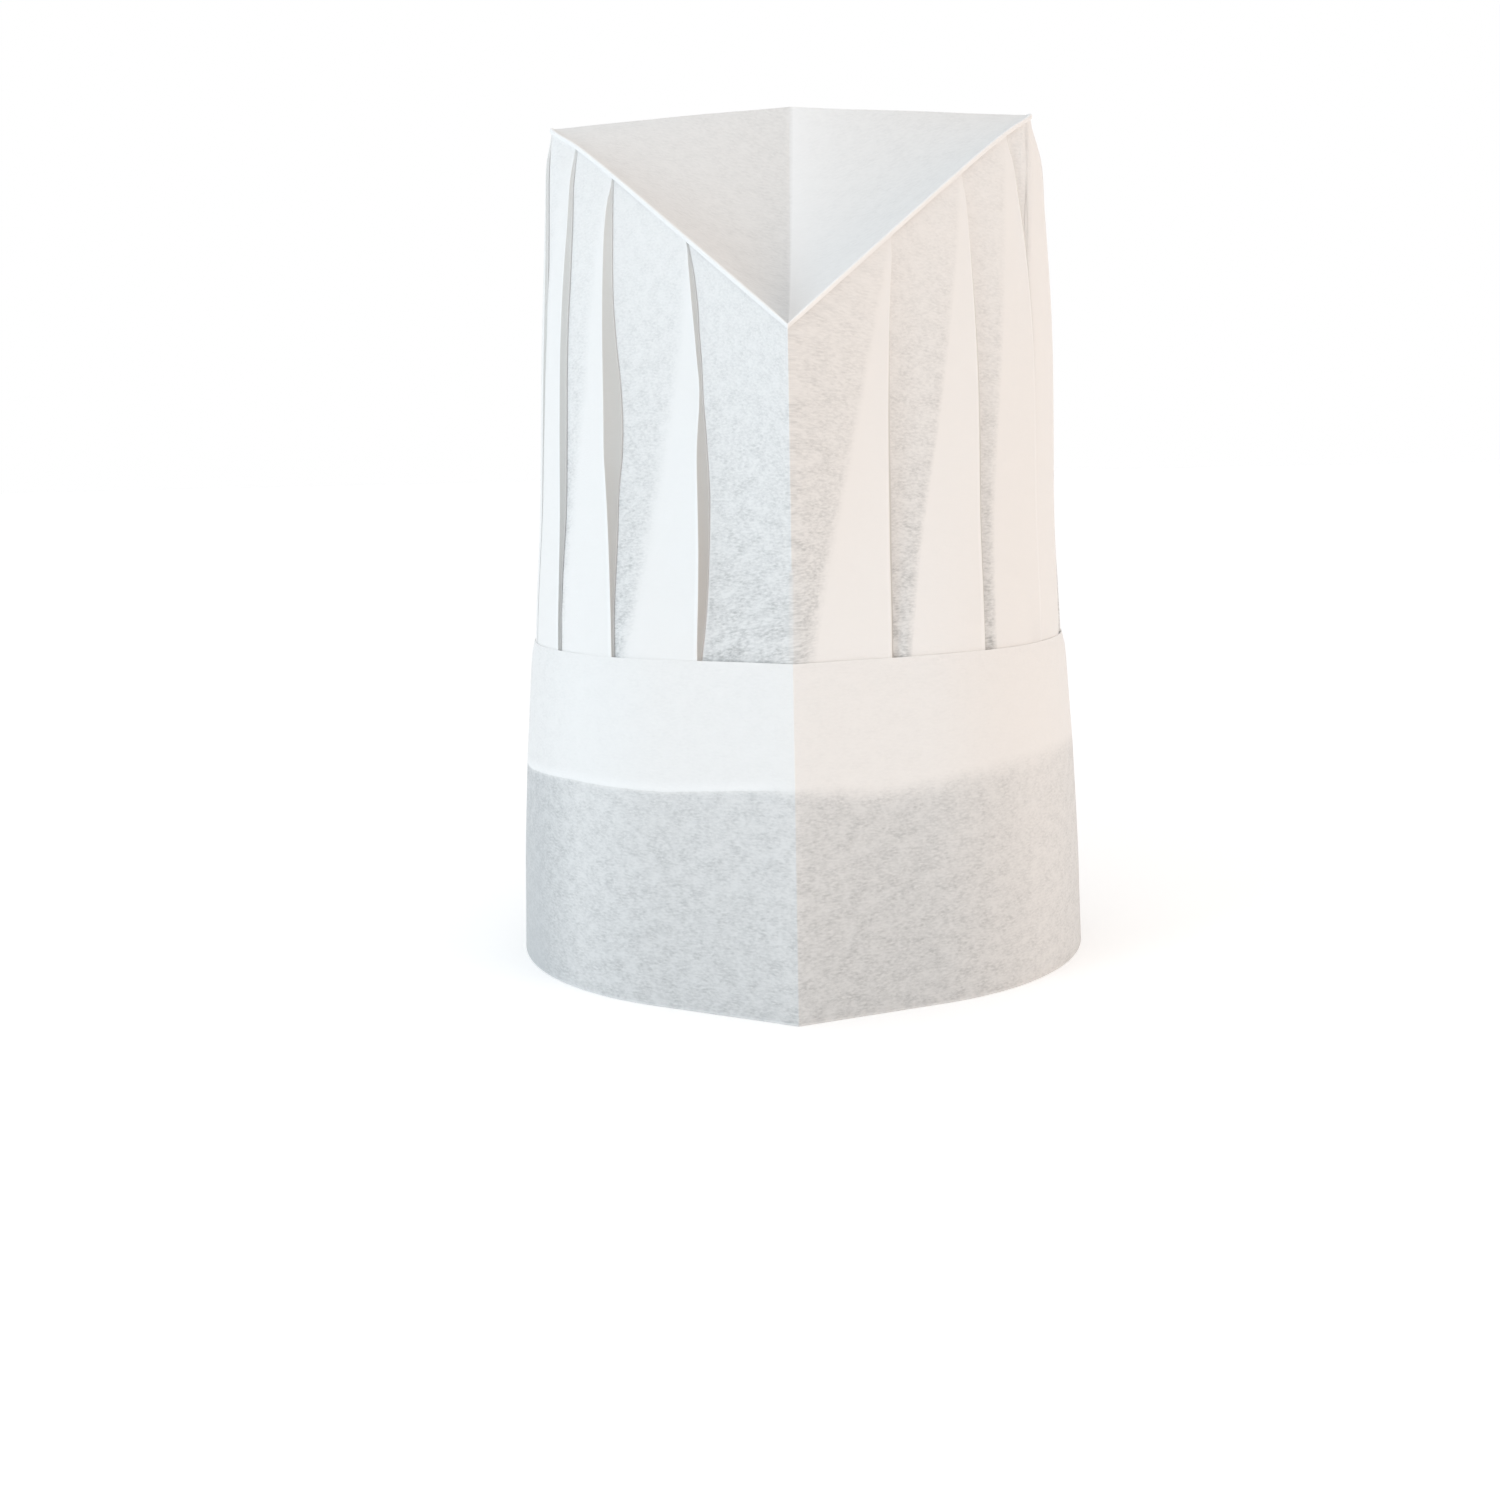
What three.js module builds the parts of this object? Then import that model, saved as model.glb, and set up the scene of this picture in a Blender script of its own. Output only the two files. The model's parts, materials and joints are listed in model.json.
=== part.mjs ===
import * as THREE from 'three';
import { mergeVertices } from 'three/addons/utils/BufferGeometryUtils.js';

// A disposable chef hat of thin white non-woven cloth, standing on its band.
// Millimetres, +Z up, the front towards -Y, the origin under the middle of the band.
//
// A place round the hat is given by turn, from 0 to 4: 0 is the front crease, 1 the right side as
// seen from the front, 2 the back crease and 3 the left side. A height on the wall is given by rise,
// from 0 at the band's upper edge to 1 at the fold line where the wall meets the top, and its foot
// inside the band has a rise below 0.

// Band: a turned-up cuff whose size round the head drives the hat. Its outline runs straight back
// from each crease, at an angle in degrees, and then rounds to the side.
const BAND_SECTIONS = [
  { height: 0, width: 185, depth: 196 },
  { height: 30, width: 182.6, depth: 195 },
  { height: 66, width: 178, depth: 193 },
  { height: 101.5, width: 172, depth: 190 },
];
const BAND_THICKNESS = 1.2;
const BAND_ANGLE = 24.7;
const STRAIGHT_SHARE = 0.254;
const BAND_COLUMNS_PER_QUARTER = 13;

// Lap that closes the band at the back, measured in turn from the back crease.
const LAP_START = 0.04;
const LAP_END = 0.2;
const LAP_THICKNESS = 0.8;
const LAP_EDGE = 0.008;
const LAP_FULL_SHARE = 0.75;

// Crown: the standing wall, from its hidden lower edge inside the band to the fold line.
const CROWN_FOOT_HEIGHT = 66;
const FOOT_RISE = -1;
const BAND_TO_CROWN = 3.9;
const CROWN_THICKNESS = 1.1;

// Fold line: straight from the notch at the front or back up to a rounded corner at each side.
const FOLD_OUTLINE = { width: 151, depth: 176, angle: 47.8, straight: 100 };
const NOTCH_HEIGHT = 192;
const CORNER_HEIGHT = 260.5;
const CORNER_ROUNDING = 0.11;

// Knife pleats, eight to a side, each with its free edge towards a higher turn.
const PLEATS_PER_SIDE = 8;
const PLEAT_PITCH = 0.225;
const PLEAT_PROFILE = [
  { before: 0.165, lift: 0 },
  { before: 0.11, lift: 0.5 },
  { before: 0.05, lift: 0.85 },
  { before: 0, lift: 1 },
  { before: -0.013, lift: 0 },
];
const PLEAT_RISES = [
  { rise: 0, lift: 1.1 },
  { rise: 0.12, lift: 1.3 },
  { rise: 0.28, lift: 1.7 },
  { rise: 0.45, lift: 2 },
  { rise: 0.6, lift: 1.9 },
  { rise: 0.74, lift: 1.4 },
  { rise: 0.87, lift: 0.8 },
  { rise: 0.95, lift: 0.35 },
  { rise: 1, lift: 0.1 },
];
const INNER_LIFT_SHARE = 0.4;

// Top: four smooth faces that meet at the peak, with a valley from each notch and a ridge across.
const PEAK_HEIGHT = 268;
const PEAK_BACK = 14;
const VALLEY_SAG = 15;
const FACE_SAG = 3;
const TOP_THICKNESS = 1.4;
const TOP_GAP = 0.35;
const TOP_SPANS = 12;
const TOP_ROWS = 6;

const WHITE = { color: 0xeeeeec, roughness: 0.9, metalness: 0 };
const NEARLY_EQUAL = 1e-4;
const TANGENT_STEP = 0.01;

const radians = THREE.MathUtils.degToRad;
const mix = THREE.MathUtils.lerp;
const bulge = (share) => 4 * share * (1 - share);

// Value of one column of a table at a key between its rows.
function tableValue(rows, keyName, key, valueName) {
  const last = rows.length - 1;
  if (key <= rows[0][keyName]) return rows[0][valueName];
  for (let i = 0; i < last; i += 1) {
    const low = rows[i];
    const high = rows[i + 1];
    if (key <= high[keyName]) {
      const share = (key - low[keyName]) / (high[keyName] - low[keyName]);
      return mix(low[valueName], high[valueName], share);
    }
  }
  return rows[last][valueName];
}

// Point of an outline, a share of the way from the front crease to the right side. The outline runs
// straight back from the crease at its angle and then rounds to the side.
function quarterPoint(outline, share) {
  const angle = radians(outline.angle);
  const across = outline.straight * Math.cos(angle);
  const back = outline.straight * Math.sin(angle);
  const acrossRadius = (outline.width / 2 - across) / (1 - Math.sin(angle));
  const backRadius = (outline.depth / 2 - back) / Math.cos(angle);
  const arc = ((acrossRadius + backRadius) / 2) * (Math.PI / 2 - angle);
  const along = share * (outline.straight + arc);
  if (along <= outline.straight) {
    return { x: along * Math.cos(angle), y: along * Math.sin(angle) - outline.depth / 2 };
  }
  const heading = mix(angle, Math.PI / 2, (along - outline.straight) / arc);
  const x = across + acrossRadius * (Math.sin(heading) - Math.sin(angle));
  const y = back + backRadius * (Math.cos(angle) - Math.cos(heading)) - outline.depth / 2;
  return { x, y };
}

// Which quarter a turn falls in: its share from the crease, and the signs of its x and y.
function quarterOf(turn) {
  const t = ((turn % 4) + 4) % 4;
  if (t <= 1) return { share: t, side: 1, end: 1 };
  if (t <= 2) return { share: 2 - t, side: 1, end: -1 };
  if (t <= 3) return { share: t - 2, side: -1, end: -1 };
  return { share: 4 - t, side: -1, end: 1 };
}

function outlinePoint(outline, turn) {
  const { share, side, end } = quarterOf(turn);
  const point = quarterPoint(outline, share);
  return new THREE.Vector2(point.x * side, point.y * end);
}

// Outline of the band moved inwards by an even distance.
function bandOutline(section, inset) {
  const width = section.width - 2 * inset;
  const depth = section.depth - (2 * inset) / Math.cos(radians(BAND_ANGLE));
  return { width, depth, angle: BAND_ANGLE, straight: STRAIGHT_SHARE * width };
}

// Closed sheet between an outer and an inner grid of points. Each grid is a list of rings, and each
// ring runs once round with rising turn. The last ring is open, or shut flat along a line.
function sheetGeometry(outerRings, innerRings, lastRing) {
  const positions = [];
  const apart = (a, b) => a.distanceTo(b) > NEARLY_EQUAL;
  const triangle = (a, b, c) => {
    if (apart(a, b) && apart(b, c) && apart(c, a)) {
      positions.push(...a.toArray(), ...b.toArray(), ...c.toArray());
    }
  };
  const quad = (a, b, c, d) => {
    triangle(a, b, c);
    triangle(a, c, d);
  };
  const count = outerRings[0].length;
  const last = outerRings.length - 1;
  for (let i = 0; i < count; i += 1) {
    const j = (i + 1) % count;
    for (let row = 0; row < last; row += 1) {
      quad(outerRings[row][i], outerRings[row][j], outerRings[row + 1][j], outerRings[row + 1][i]);
      quad(innerRings[row][j], innerRings[row][i], innerRings[row + 1][i], innerRings[row + 1][j]);
    }
    quad(innerRings[0][i], innerRings[0][j], outerRings[0][j], outerRings[0][i]);
    if (lastRing === 'open') {
      quad(outerRings[last][i], outerRings[last][j], innerRings[last][j], innerRings[last][i]);
    }
  }
  return closedGeometry(positions);
}

function closedGeometry(positions) {
  const geometry = new THREE.BufferGeometry();
  geometry.setAttribute('position', new THREE.Float32BufferAttribute(positions, 3));
  const merged = mergeVertices(geometry, NEARLY_EQUAL);
  merged.computeVertexNormals();
  return merged;
}

function namedMesh(name, geometry) {
  const mesh = new THREE.Mesh(geometry, new THREE.MeshStandardMaterial(WHITE));
  mesh.name = name;
  return mesh;
}

// Band

function lapThickness(turn) {
  const fromCrease = turn - 2;
  if (fromCrease <= LAP_START || fromCrease >= LAP_END) return 0;
  const rise = (fromCrease - LAP_START) / LAP_EDGE;
  const fall = (LAP_END - fromCrease) / (LAP_END - LAP_START);
  return LAP_THICKNESS * Math.min(1, rise, fall / (1 - LAP_FULL_SHARE));
}

function bandTurns() {
  const lap = [LAP_START, LAP_START + LAP_EDGE, mix(LAP_START, LAP_END, LAP_FULL_SHARE), LAP_END];
  const turns = lap.map((fromCrease) => fromCrease + 2);
  for (let i = 0; i < 4 * BAND_COLUMNS_PER_QUARTER; i += 1) {
    const turn = i / BAND_COLUMNS_PER_QUARTER;
    const inLap = turn > 2 && turn < 2 + LAP_END;
    if (!inLap) turns.push(turn);
  }
  return turns.sort((a, b) => a - b);
}

function band() {
  const turns = bandTurns();
  const ring = (section, inset) => turns.map((turn) => {
    const proud = inset === 0 ? lapThickness(turn) : 0;
    const point = outlinePoint(bandOutline(section, inset - proud), turn);
    return new THREE.Vector3(point.x, point.y, section.height);
  });
  const outer = BAND_SECTIONS.map((section) => ring(section, 0));
  const inner = BAND_SECTIONS.map((section) => ring(section, BAND_THICKNESS));
  return namedMesh('band', sheetGeometry(outer, inner, 'open'));
}

// Crown

const bandTop = BAND_SECTIONS[BAND_SECTIONS.length - 1];
const footSection = {
  height: CROWN_FOOT_HEIGHT,
  width: tableValue(BAND_SECTIONS, 'height', CROWN_FOOT_HEIGHT, 'width'),
  depth: tableValue(BAND_SECTIONS, 'height', CROWN_FOOT_HEIGHT, 'depth'),
};

// How far along the fold line, from notch to corner, the cloth at this share of a quarter ends.
function foldShare(share) {
  return 1 - (1 - share) ** 2;
}

// Height of the fold line, which climbs evenly and levels off at the corner.
function foldHeight(along) {
  const steepness = 1 + CORNER_ROUNDING;
  const climb = steepness * along - CORNER_ROUNDING * along ** (steepness / CORNER_ROUNDING);
  return mix(NOTCH_HEIGHT, CORNER_HEIGHT, climb);
}

function foldPoint(turn) {
  const { share, side, end } = quarterOf(turn);
  const along = foldShare(share);
  const point = quarterPoint(FOLD_OUTLINE, along);
  return new THREE.Vector3(point.x * side, point.y * end, foldHeight(along));
}

// Inner face of the wall without its pleats. Its lines run straight from the band to the fold line,
// and below the band's edge it keeps even with the band.
function wallPoint(turn, rise) {
  const section = rise < 0 ? footSection : bandTop;
  const low = outlinePoint(bandOutline(section, BAND_TO_CROWN), turn);
  const point = new THREE.Vector3(low.x, low.y, section.height);
  if (rise <= 0) return point;
  return point.lerp(foldPoint(turn), rise);
}

// Level direction straight out of the wall.
function outwards(turn, rise) {
  const along = wallPoint(turn + TANGENT_STEP, rise).sub(wallPoint(turn - TANGENT_STEP, rise));
  return new THREE.Vector3(along.y, -along.x, 0).normalize();
}

function pleatEdges() {
  const edges = [];
  for (const middle of [1, 3]) {
    for (let i = 0; i < PLEATS_PER_SIDE; i += 1) {
      edges.push(middle + (i - (PLEATS_PER_SIDE - 1) / 2) * PLEAT_PITCH);
    }
  }
  return edges;
}

// Columns of the wall: the profile of each pleat, and the two creases.
function crownColumns() {
  const columns = [{ turn: 0, lift: 0 }, { turn: 2, lift: 0 }];
  for (const edge of pleatEdges()) {
    for (const { before, lift } of PLEAT_PROFILE) {
      columns.push({ turn: edge - before, lift });
    }
  }
  return columns.sort((a, b) => a.turn - b.turn);
}

function crown() {
  const columns = crownColumns();
  const ring = (rise, face) => columns.map(({ turn, lift }) => {
    const pleat = lift * tableValue(PLEAT_RISES, 'rise', rise, 'lift');
    const out = face === 'outer' ? CROWN_THICKNESS + pleat : INNER_LIFT_SHARE * pleat;
    return wallPoint(turn, rise).addScaledVector(outwards(turn, rise), out);
  });
  const rises = [FOOT_RISE, ...PLEAT_RISES.map((row) => row.rise)];
  const outer = rises.map((rise) => ring(rise, 'outer'));
  const inner = rises.map((rise) => ring(rise, 'inner'));
  return namedMesh('crown', sheetGeometry(outer, inner, 'open'));
}

// Top panel

// Border of the top, just inside the wall.
function topBorder(turn) {
  return foldPoint(turn).addScaledVector(outwards(turn, 1), -TOP_GAP);
}

// Line down the middle of the top, from the notch to the peak, at this share of the fold line.
function valleyPoint(turn) {
  const { share, end } = quarterOf(turn);
  const along = foldShare(share);
  const notch = topBorder(end > 0 ? 0 : 2);
  const y = mix(notch.y, PEAK_BACK, along);
  const sag = VALLEY_SAG * bulge(along);
  return new THREE.Vector3(0, y, mix(notch.z, PEAK_HEIGHT, along) - sag);
}

function topPoint(turn, towardsMiddle) {
  const along = foldShare(quarterOf(turn).share);
  const point = topBorder(turn).lerp(valleyPoint(turn), towardsMiddle);
  point.z -= FACE_SAG * bulge(along) * bulge(towardsMiddle);
  return point;
}

function topPanel() {
  const turns = Array.from({ length: 4 * TOP_SPANS }, (_, i) => i / TOP_SPANS);
  const inwards = Array.from({ length: TOP_ROWS + 1 }, (_, i) => i / TOP_ROWS);
  const upper = inwards.map((share) => turns.map((turn) => topPoint(turn, share)));
  const lower = upper.map((ring) => ring.map((point) => point.clone().setZ(point.z - TOP_THICKNESS)));
  return namedMesh('top_panel', sheetGeometry(upper, lower, 'shut'));
}

const hat = new THREE.Group();
hat.add(band(), crown(), topPanel());

export default hat;
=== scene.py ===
import json
import math

import bpy
import numpy as np
from mathutils import Matrix, Vector, noise

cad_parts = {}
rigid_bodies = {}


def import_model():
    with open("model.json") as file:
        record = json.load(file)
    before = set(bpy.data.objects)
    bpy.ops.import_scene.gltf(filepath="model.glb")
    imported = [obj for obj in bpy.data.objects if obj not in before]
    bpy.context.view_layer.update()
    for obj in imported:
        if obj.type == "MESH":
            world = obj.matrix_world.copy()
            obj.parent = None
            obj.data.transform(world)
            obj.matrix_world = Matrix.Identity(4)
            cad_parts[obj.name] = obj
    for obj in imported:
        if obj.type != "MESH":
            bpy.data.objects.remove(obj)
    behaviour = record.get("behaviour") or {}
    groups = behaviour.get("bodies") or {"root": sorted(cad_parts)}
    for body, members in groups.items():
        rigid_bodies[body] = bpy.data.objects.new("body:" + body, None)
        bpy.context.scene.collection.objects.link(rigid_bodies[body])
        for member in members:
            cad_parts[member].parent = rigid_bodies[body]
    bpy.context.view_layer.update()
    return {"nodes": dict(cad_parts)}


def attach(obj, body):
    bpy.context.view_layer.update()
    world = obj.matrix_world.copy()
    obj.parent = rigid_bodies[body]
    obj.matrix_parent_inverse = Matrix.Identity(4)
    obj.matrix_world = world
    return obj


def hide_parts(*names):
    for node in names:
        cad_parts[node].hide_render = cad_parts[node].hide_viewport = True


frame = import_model()
print("frame loaded, nodes:", sorted(frame["nodes"]))

mm = 0.001
stepsPerTurn = 50   # lengths round the hat are summed in this many steps for each quarter

# the hat's main sizes in millimetres, the same as the solids have
hatShape = {
    # height, width, depth
    "bandSections": [(0, 185, 196), (30, 182.6, 195), (66, 178, 193), (101.5, 172, 190)],
    "bandAngle": 24.7,
    "straightShare": 0.254,
    "foldWidth": 151,
    "foldDepth": 176,
    "foldAngle": 47.8,
    "foldStraight": 100,
    "notchHeight": 192,
    "cornerHeight": 260.5,
    "cornerRounding": 0.11,
    "peakHeight": 268,
    "peakBack": 14,
    "valleySag": 15,
    "faceSag": 3,
}
bandTop = hatShape["bandSections"][-1][0]


def mix(a, b, share):
    return a + (b - a) * share


def bulge(share):
    return 4 * share * (1 - share)


def easeIn(share):
    share = min(1.0, max(0.0, share))
    return share * share * (3 - 2 * share)


# smooth curve through a short table of (key, value) rows
def curveValue(rows, key):
    keys = np.array([row[0] for row in rows], float)
    values = np.array([row[1] for row in rows], float)
    if key <= keys[0]:
        return float(values[0])
    if key >= keys[-1]:
        return float(values[-1])
    slopes = np.gradient(values, keys)
    i = int(np.searchsorted(keys, key)) - 1
    span = keys[i + 1] - keys[i]
    t = (key - keys[i]) / span
    a = (1 + 2 * t) * (1 - t) ** 2 * values[i] + t * t * (3 - 2 * t) * values[i + 1]
    return float(a + span * (t * (1 - t) ** 2 * slopes[i] - t * t * (1 - t) * slopes[i + 1]))


# an outline runs straight back from the crease at its angle, then rounds to the side
def quarterPoint(width, depth, angle, straight, share):
    a = math.radians(angle)
    across = straight * math.cos(a)
    back = straight * math.sin(a)
    acrossRadius = (width / 2 - across) / (1 - math.sin(a))
    backRadius = (depth / 2 - back) / math.cos(a)
    arc = (acrossRadius + backRadius) / 2 * (math.pi / 2 - a)
    along = share * (straight + arc)
    if along <= straight:
        return along * math.cos(a), along * math.sin(a) - depth / 2
    h = mix(a, math.pi / 2, (along - straight) / arc)
    x = across + acrossRadius * (math.sin(h) - math.sin(a))
    y = back + backRadius * (math.cos(a) - math.cos(h)) - depth / 2
    return x, y


# turn: 0 front crease, 1 right side, 2 back crease, 3 left side
def quarterOf(turn):
    t = turn % 4
    if t <= 1:
        return t, 1, 1
    if t <= 2:
        return 2 - t, 1, -1
    if t <= 3:
        return t - 2, -1, -1
    return 4 - t, -1, 1


def bandPoint(turn, height, inset):
    sections = np.array(hatShape["bandSections"], float)
    width = np.interp(height, sections[:, 0], sections[:, 1]) - 2 * inset
    depth = np.interp(height, sections[:, 0], sections[:, 2])
    depth -= 2 * inset / math.cos(math.radians(hatShape["bandAngle"]))
    share, side, end = quarterOf(turn)
    x, y = quarterPoint(width, depth, hatShape["bandAngle"], hatShape["straightShare"] * width, share)
    return Vector((x * side, y * end, height))


def foldShare(share):
    return 1 - (1 - share) ** 2


def foldPoint(turn):
    share, side, end = quarterOf(turn)
    along = foldShare(share)
    x, y = quarterPoint(
        hatShape["foldWidth"], hatShape["foldDepth"], hatShape["foldAngle"], hatShape["foldStraight"], along
    )
    rounding = hatShape["cornerRounding"]
    steepness = 1 + rounding
    climb = steepness * along - rounding * along ** (steepness / rounding)
    return Vector((x * side, y * end, mix(hatShape["notchHeight"], hatShape["cornerHeight"], climb)))


# the photo's viewpoint, as fitted to the hat's outline
cameraView = {
    "distance": 0.5478,
    "height": 0.15397,
    "turned": 0.77,
    "down": 9.483,
    "roll": 1.22,
    "aimPixel": 799.7,
    "focalPixels": 1675.4,
    "pictureWidth": 1500,
    "sensor": 36.0,
    "nearest": 0.01,
    "furthest": 200,
}


def makeCamera(c):
    turned = math.radians(c["turned"])
    ahead = Vector((-math.sin(turned), math.cos(turned), 0))
    right = Vector((math.cos(turned), math.sin(turned), 0))
    yaw = math.atan((c["aimPixel"] - c["pictureWidth"] / 2) / c["focalPixels"])
    down = math.radians(c["down"])
    roll = math.radians(c["roll"])
    aheadYawed = ahead * math.cos(yaw) - right * math.sin(yaw)
    rightYawed = right * math.cos(yaw) + ahead * math.sin(yaw)
    level = Vector((0, 0, 1))
    aheadTilted = aheadYawed * math.cos(down) - level * math.sin(down)
    upTilted = level * math.cos(down) + aheadYawed * math.sin(down)
    rightRolled = rightYawed * math.cos(roll) - upTilted * math.sin(roll)
    upRolled = upTilted * math.cos(roll) + rightYawed * math.sin(roll)
    data = bpy.data.cameras.new("photoCamera")
    data.sensor_width = c["sensor"]
    data.lens = c["focalPixels"] / c["pictureWidth"] * c["sensor"]
    data.clip_start = c["nearest"]
    data.clip_end = c["furthest"]
    camera = bpy.data.objects.new("photoCamera", data)
    bpy.context.scene.collection.objects.link(camera)
    place = Matrix((rightRolled, upRolled, -aheadTilted)).transposed().to_4x4()
    place.translation = (math.sin(turned) * c["distance"], -math.cos(turned) * c["distance"], c["height"])
    camera.matrix_world = place
    bpy.context.scene.camera = camera


makeCamera(cameraView)
print("camera placed")


def deselectAll():
    for other in bpy.context.view_layer.objects:
        other.select_set(False)


def makeActive(piece):
    deselectAll()
    piece.select_set(True)
    bpy.context.view_layer.objects.active = piece


# a sheet from rows of points: each row runs along the cloth, closed round or open at its ends
def sheetMesh(name, rows, uvRows, values, closed):
    count = len(rows[0])
    points = [tuple(p * mm) for row in rows for p in row]
    faces = []
    for r in range(len(rows) - 1):
        for i in range(count if closed else count - 1):
            j = (i + 1) % count
            faces.append((r * count + i, r * count + j, (r + 1) * count + j, (r + 1) * count + i))
    mesh = bpy.data.meshes.new(name)
    mesh.from_pydata(points, [], faces)
    piece = bpy.data.objects.new(name, mesh)
    bpy.context.scene.collection.objects.link(piece)
    layer = mesh.uv_layers.new(name="cloth")
    flat = [pair for row in uvRows for pair in row]
    for loop in mesh.loops:
        layer.data[loop.index].uv = flat[loop.vertex_index]
    for key, table in values.items():
        attribute = mesh.attributes.new(key, "FLOAT", "POINT")
        attribute.data.foreach_set("value", [v for row in table for v in row])
    mesh.update()
    return piece


def thicken(piece, thickness, sharpAngle):
    makeActive(piece)
    wall = piece.modifiers.new("wall", "SOLIDIFY")
    wall.thickness = thickness * mm
    wall.offset = 0
    wall.use_even_offset = False
    bpy.ops.object.modifier_apply(modifier="wall")
    bpy.ops.object.shade_smooth_by_angle(angle=math.radians(sharpAngle))
    print(piece.name, "triangles:", sum(len(p.vertices) - 2 for p in piece.data.polygons))


crownSettings = {
    "footHeight": 66.0,
    "inset": 3.9,                # wall's inner face from the band's outer face
    "thickness": 0.3,
    "innerLayer": 0.3,           # middle of the innermost layer, out from the wall's inner face
    "layerGap": 0.5,
    "pleatsPerSide": 8,
    "pitch": 0.225,
    "underlay": 24.0,            # width folded under at the band
    "underlayLeast": 1.2,
    "underlayPower": 1.25,
    "rowsBelow": [-1.0, -0.5, -0.15],
    "rowsAbove": 52,
    "rowsRim": [0.975, 0.985, 0.992, 1.0],
    # painted highlight along the crown's top rows, rising from rimStart to rimFull
    "rimPaintedHighlight": 0.5,
    "rimStart": 0.985,
    "rimFull": 0.992,
    "ripple": 0.35,
    "fineRipple": 0.35,
    "rippleSize": (2.3, 1.6),    # waves in each turn and over the rise
    "fineSize": (7.0, 2.5),
    "rippleFade": (0.1, 0.2),    # the rise over which waves begin, below and above the band's edge
    "rimCalm": 0.1,
    "grip": 1.25,                # the band holds the pleats' feet this much further out
    "gripRise": 0.3,
    "drawnIn": 1.1,              # at the top, so that the layers end at the fold line
    "drawnRise": 0.5,
    "rightTuck": 3.2,            # the corners round in at the very top
    "leftTuck": 1.0,
    "tuckRise": 0.86,
    "tuckPower": 8,
    "rightFull": 2.2,            # the right side has sprung open further than the left
    "fullRise": 0.7,
    "weldStart": 0.93,
    "weldFull": 0.985,
    "weldSqueeze": 0.55,
    "liftShare": 0.45,           # most of the folded-under width that an edge may lift by
    "leanShare": 0.6,            # most of a slit's width that its lifted edge may lean over
    "leastLean": 0.1,
    "leastFacing": 0.55,
    "hemPast": 0.3,              # the hem lies at least this far past the free edge
    "liftPower": 1.7,            # keeps a lifted edge's curl near the edge
    "hemOut": 0.32,
    "hemRadius": 0.15,
    # painted highlight along each pleat's free edge
    "edgePaintedHighlight": 0.35,
    "softLeft": 7.0,             # the triple cloth begins over this width, not in a line
    "softRight": 2.6,
    "blur": 1.0,
    "blurShare": 0.35,           # of a narrow pleat's width
    "sharpAngle": 50,
    "panelShift": 47,            # from one panel to the next along the cloth's pattern
    # where the columns stand, as shares of each part of a pleat
    "tuckedColumns": (0.0, 0.2, 0.45, 0.7, 0.9, 1.0),
    "openColumns": (0.03, 0.12, 0.25, 0.375, 0.5, 0.625, 0.75, 0.875, 0.95),
    "columnsToCrease": (0.05, 0.25, 0.5, 0.75, 0.97, 1.0),
    "columnsPastCrease": (0.06, 0.35, 0.7),
    "overColumns": (0.0, 0.06, 0.14, 0.28, 0.44, 0.6, 0.74, 0.86, 0.94, 0.97, 1.0),
    "edgeStart": 0.96,
    "slitColumns": (0.015, 0.1, 0.3, 0.5, 0.7, 0.9, 0.985),
    "slitBow": 0.3,
    "hemAngles": (0, 45, 90, 135, 180),
    "hemShade": 0.5,             # of the slit's painted shade, on the far side of the hem
    "backColumns": (0.06, 0.18, 0.36, 0.58, 0.8, 1.0),
    "foldAngles": (45, 90, 135),
}
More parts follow.
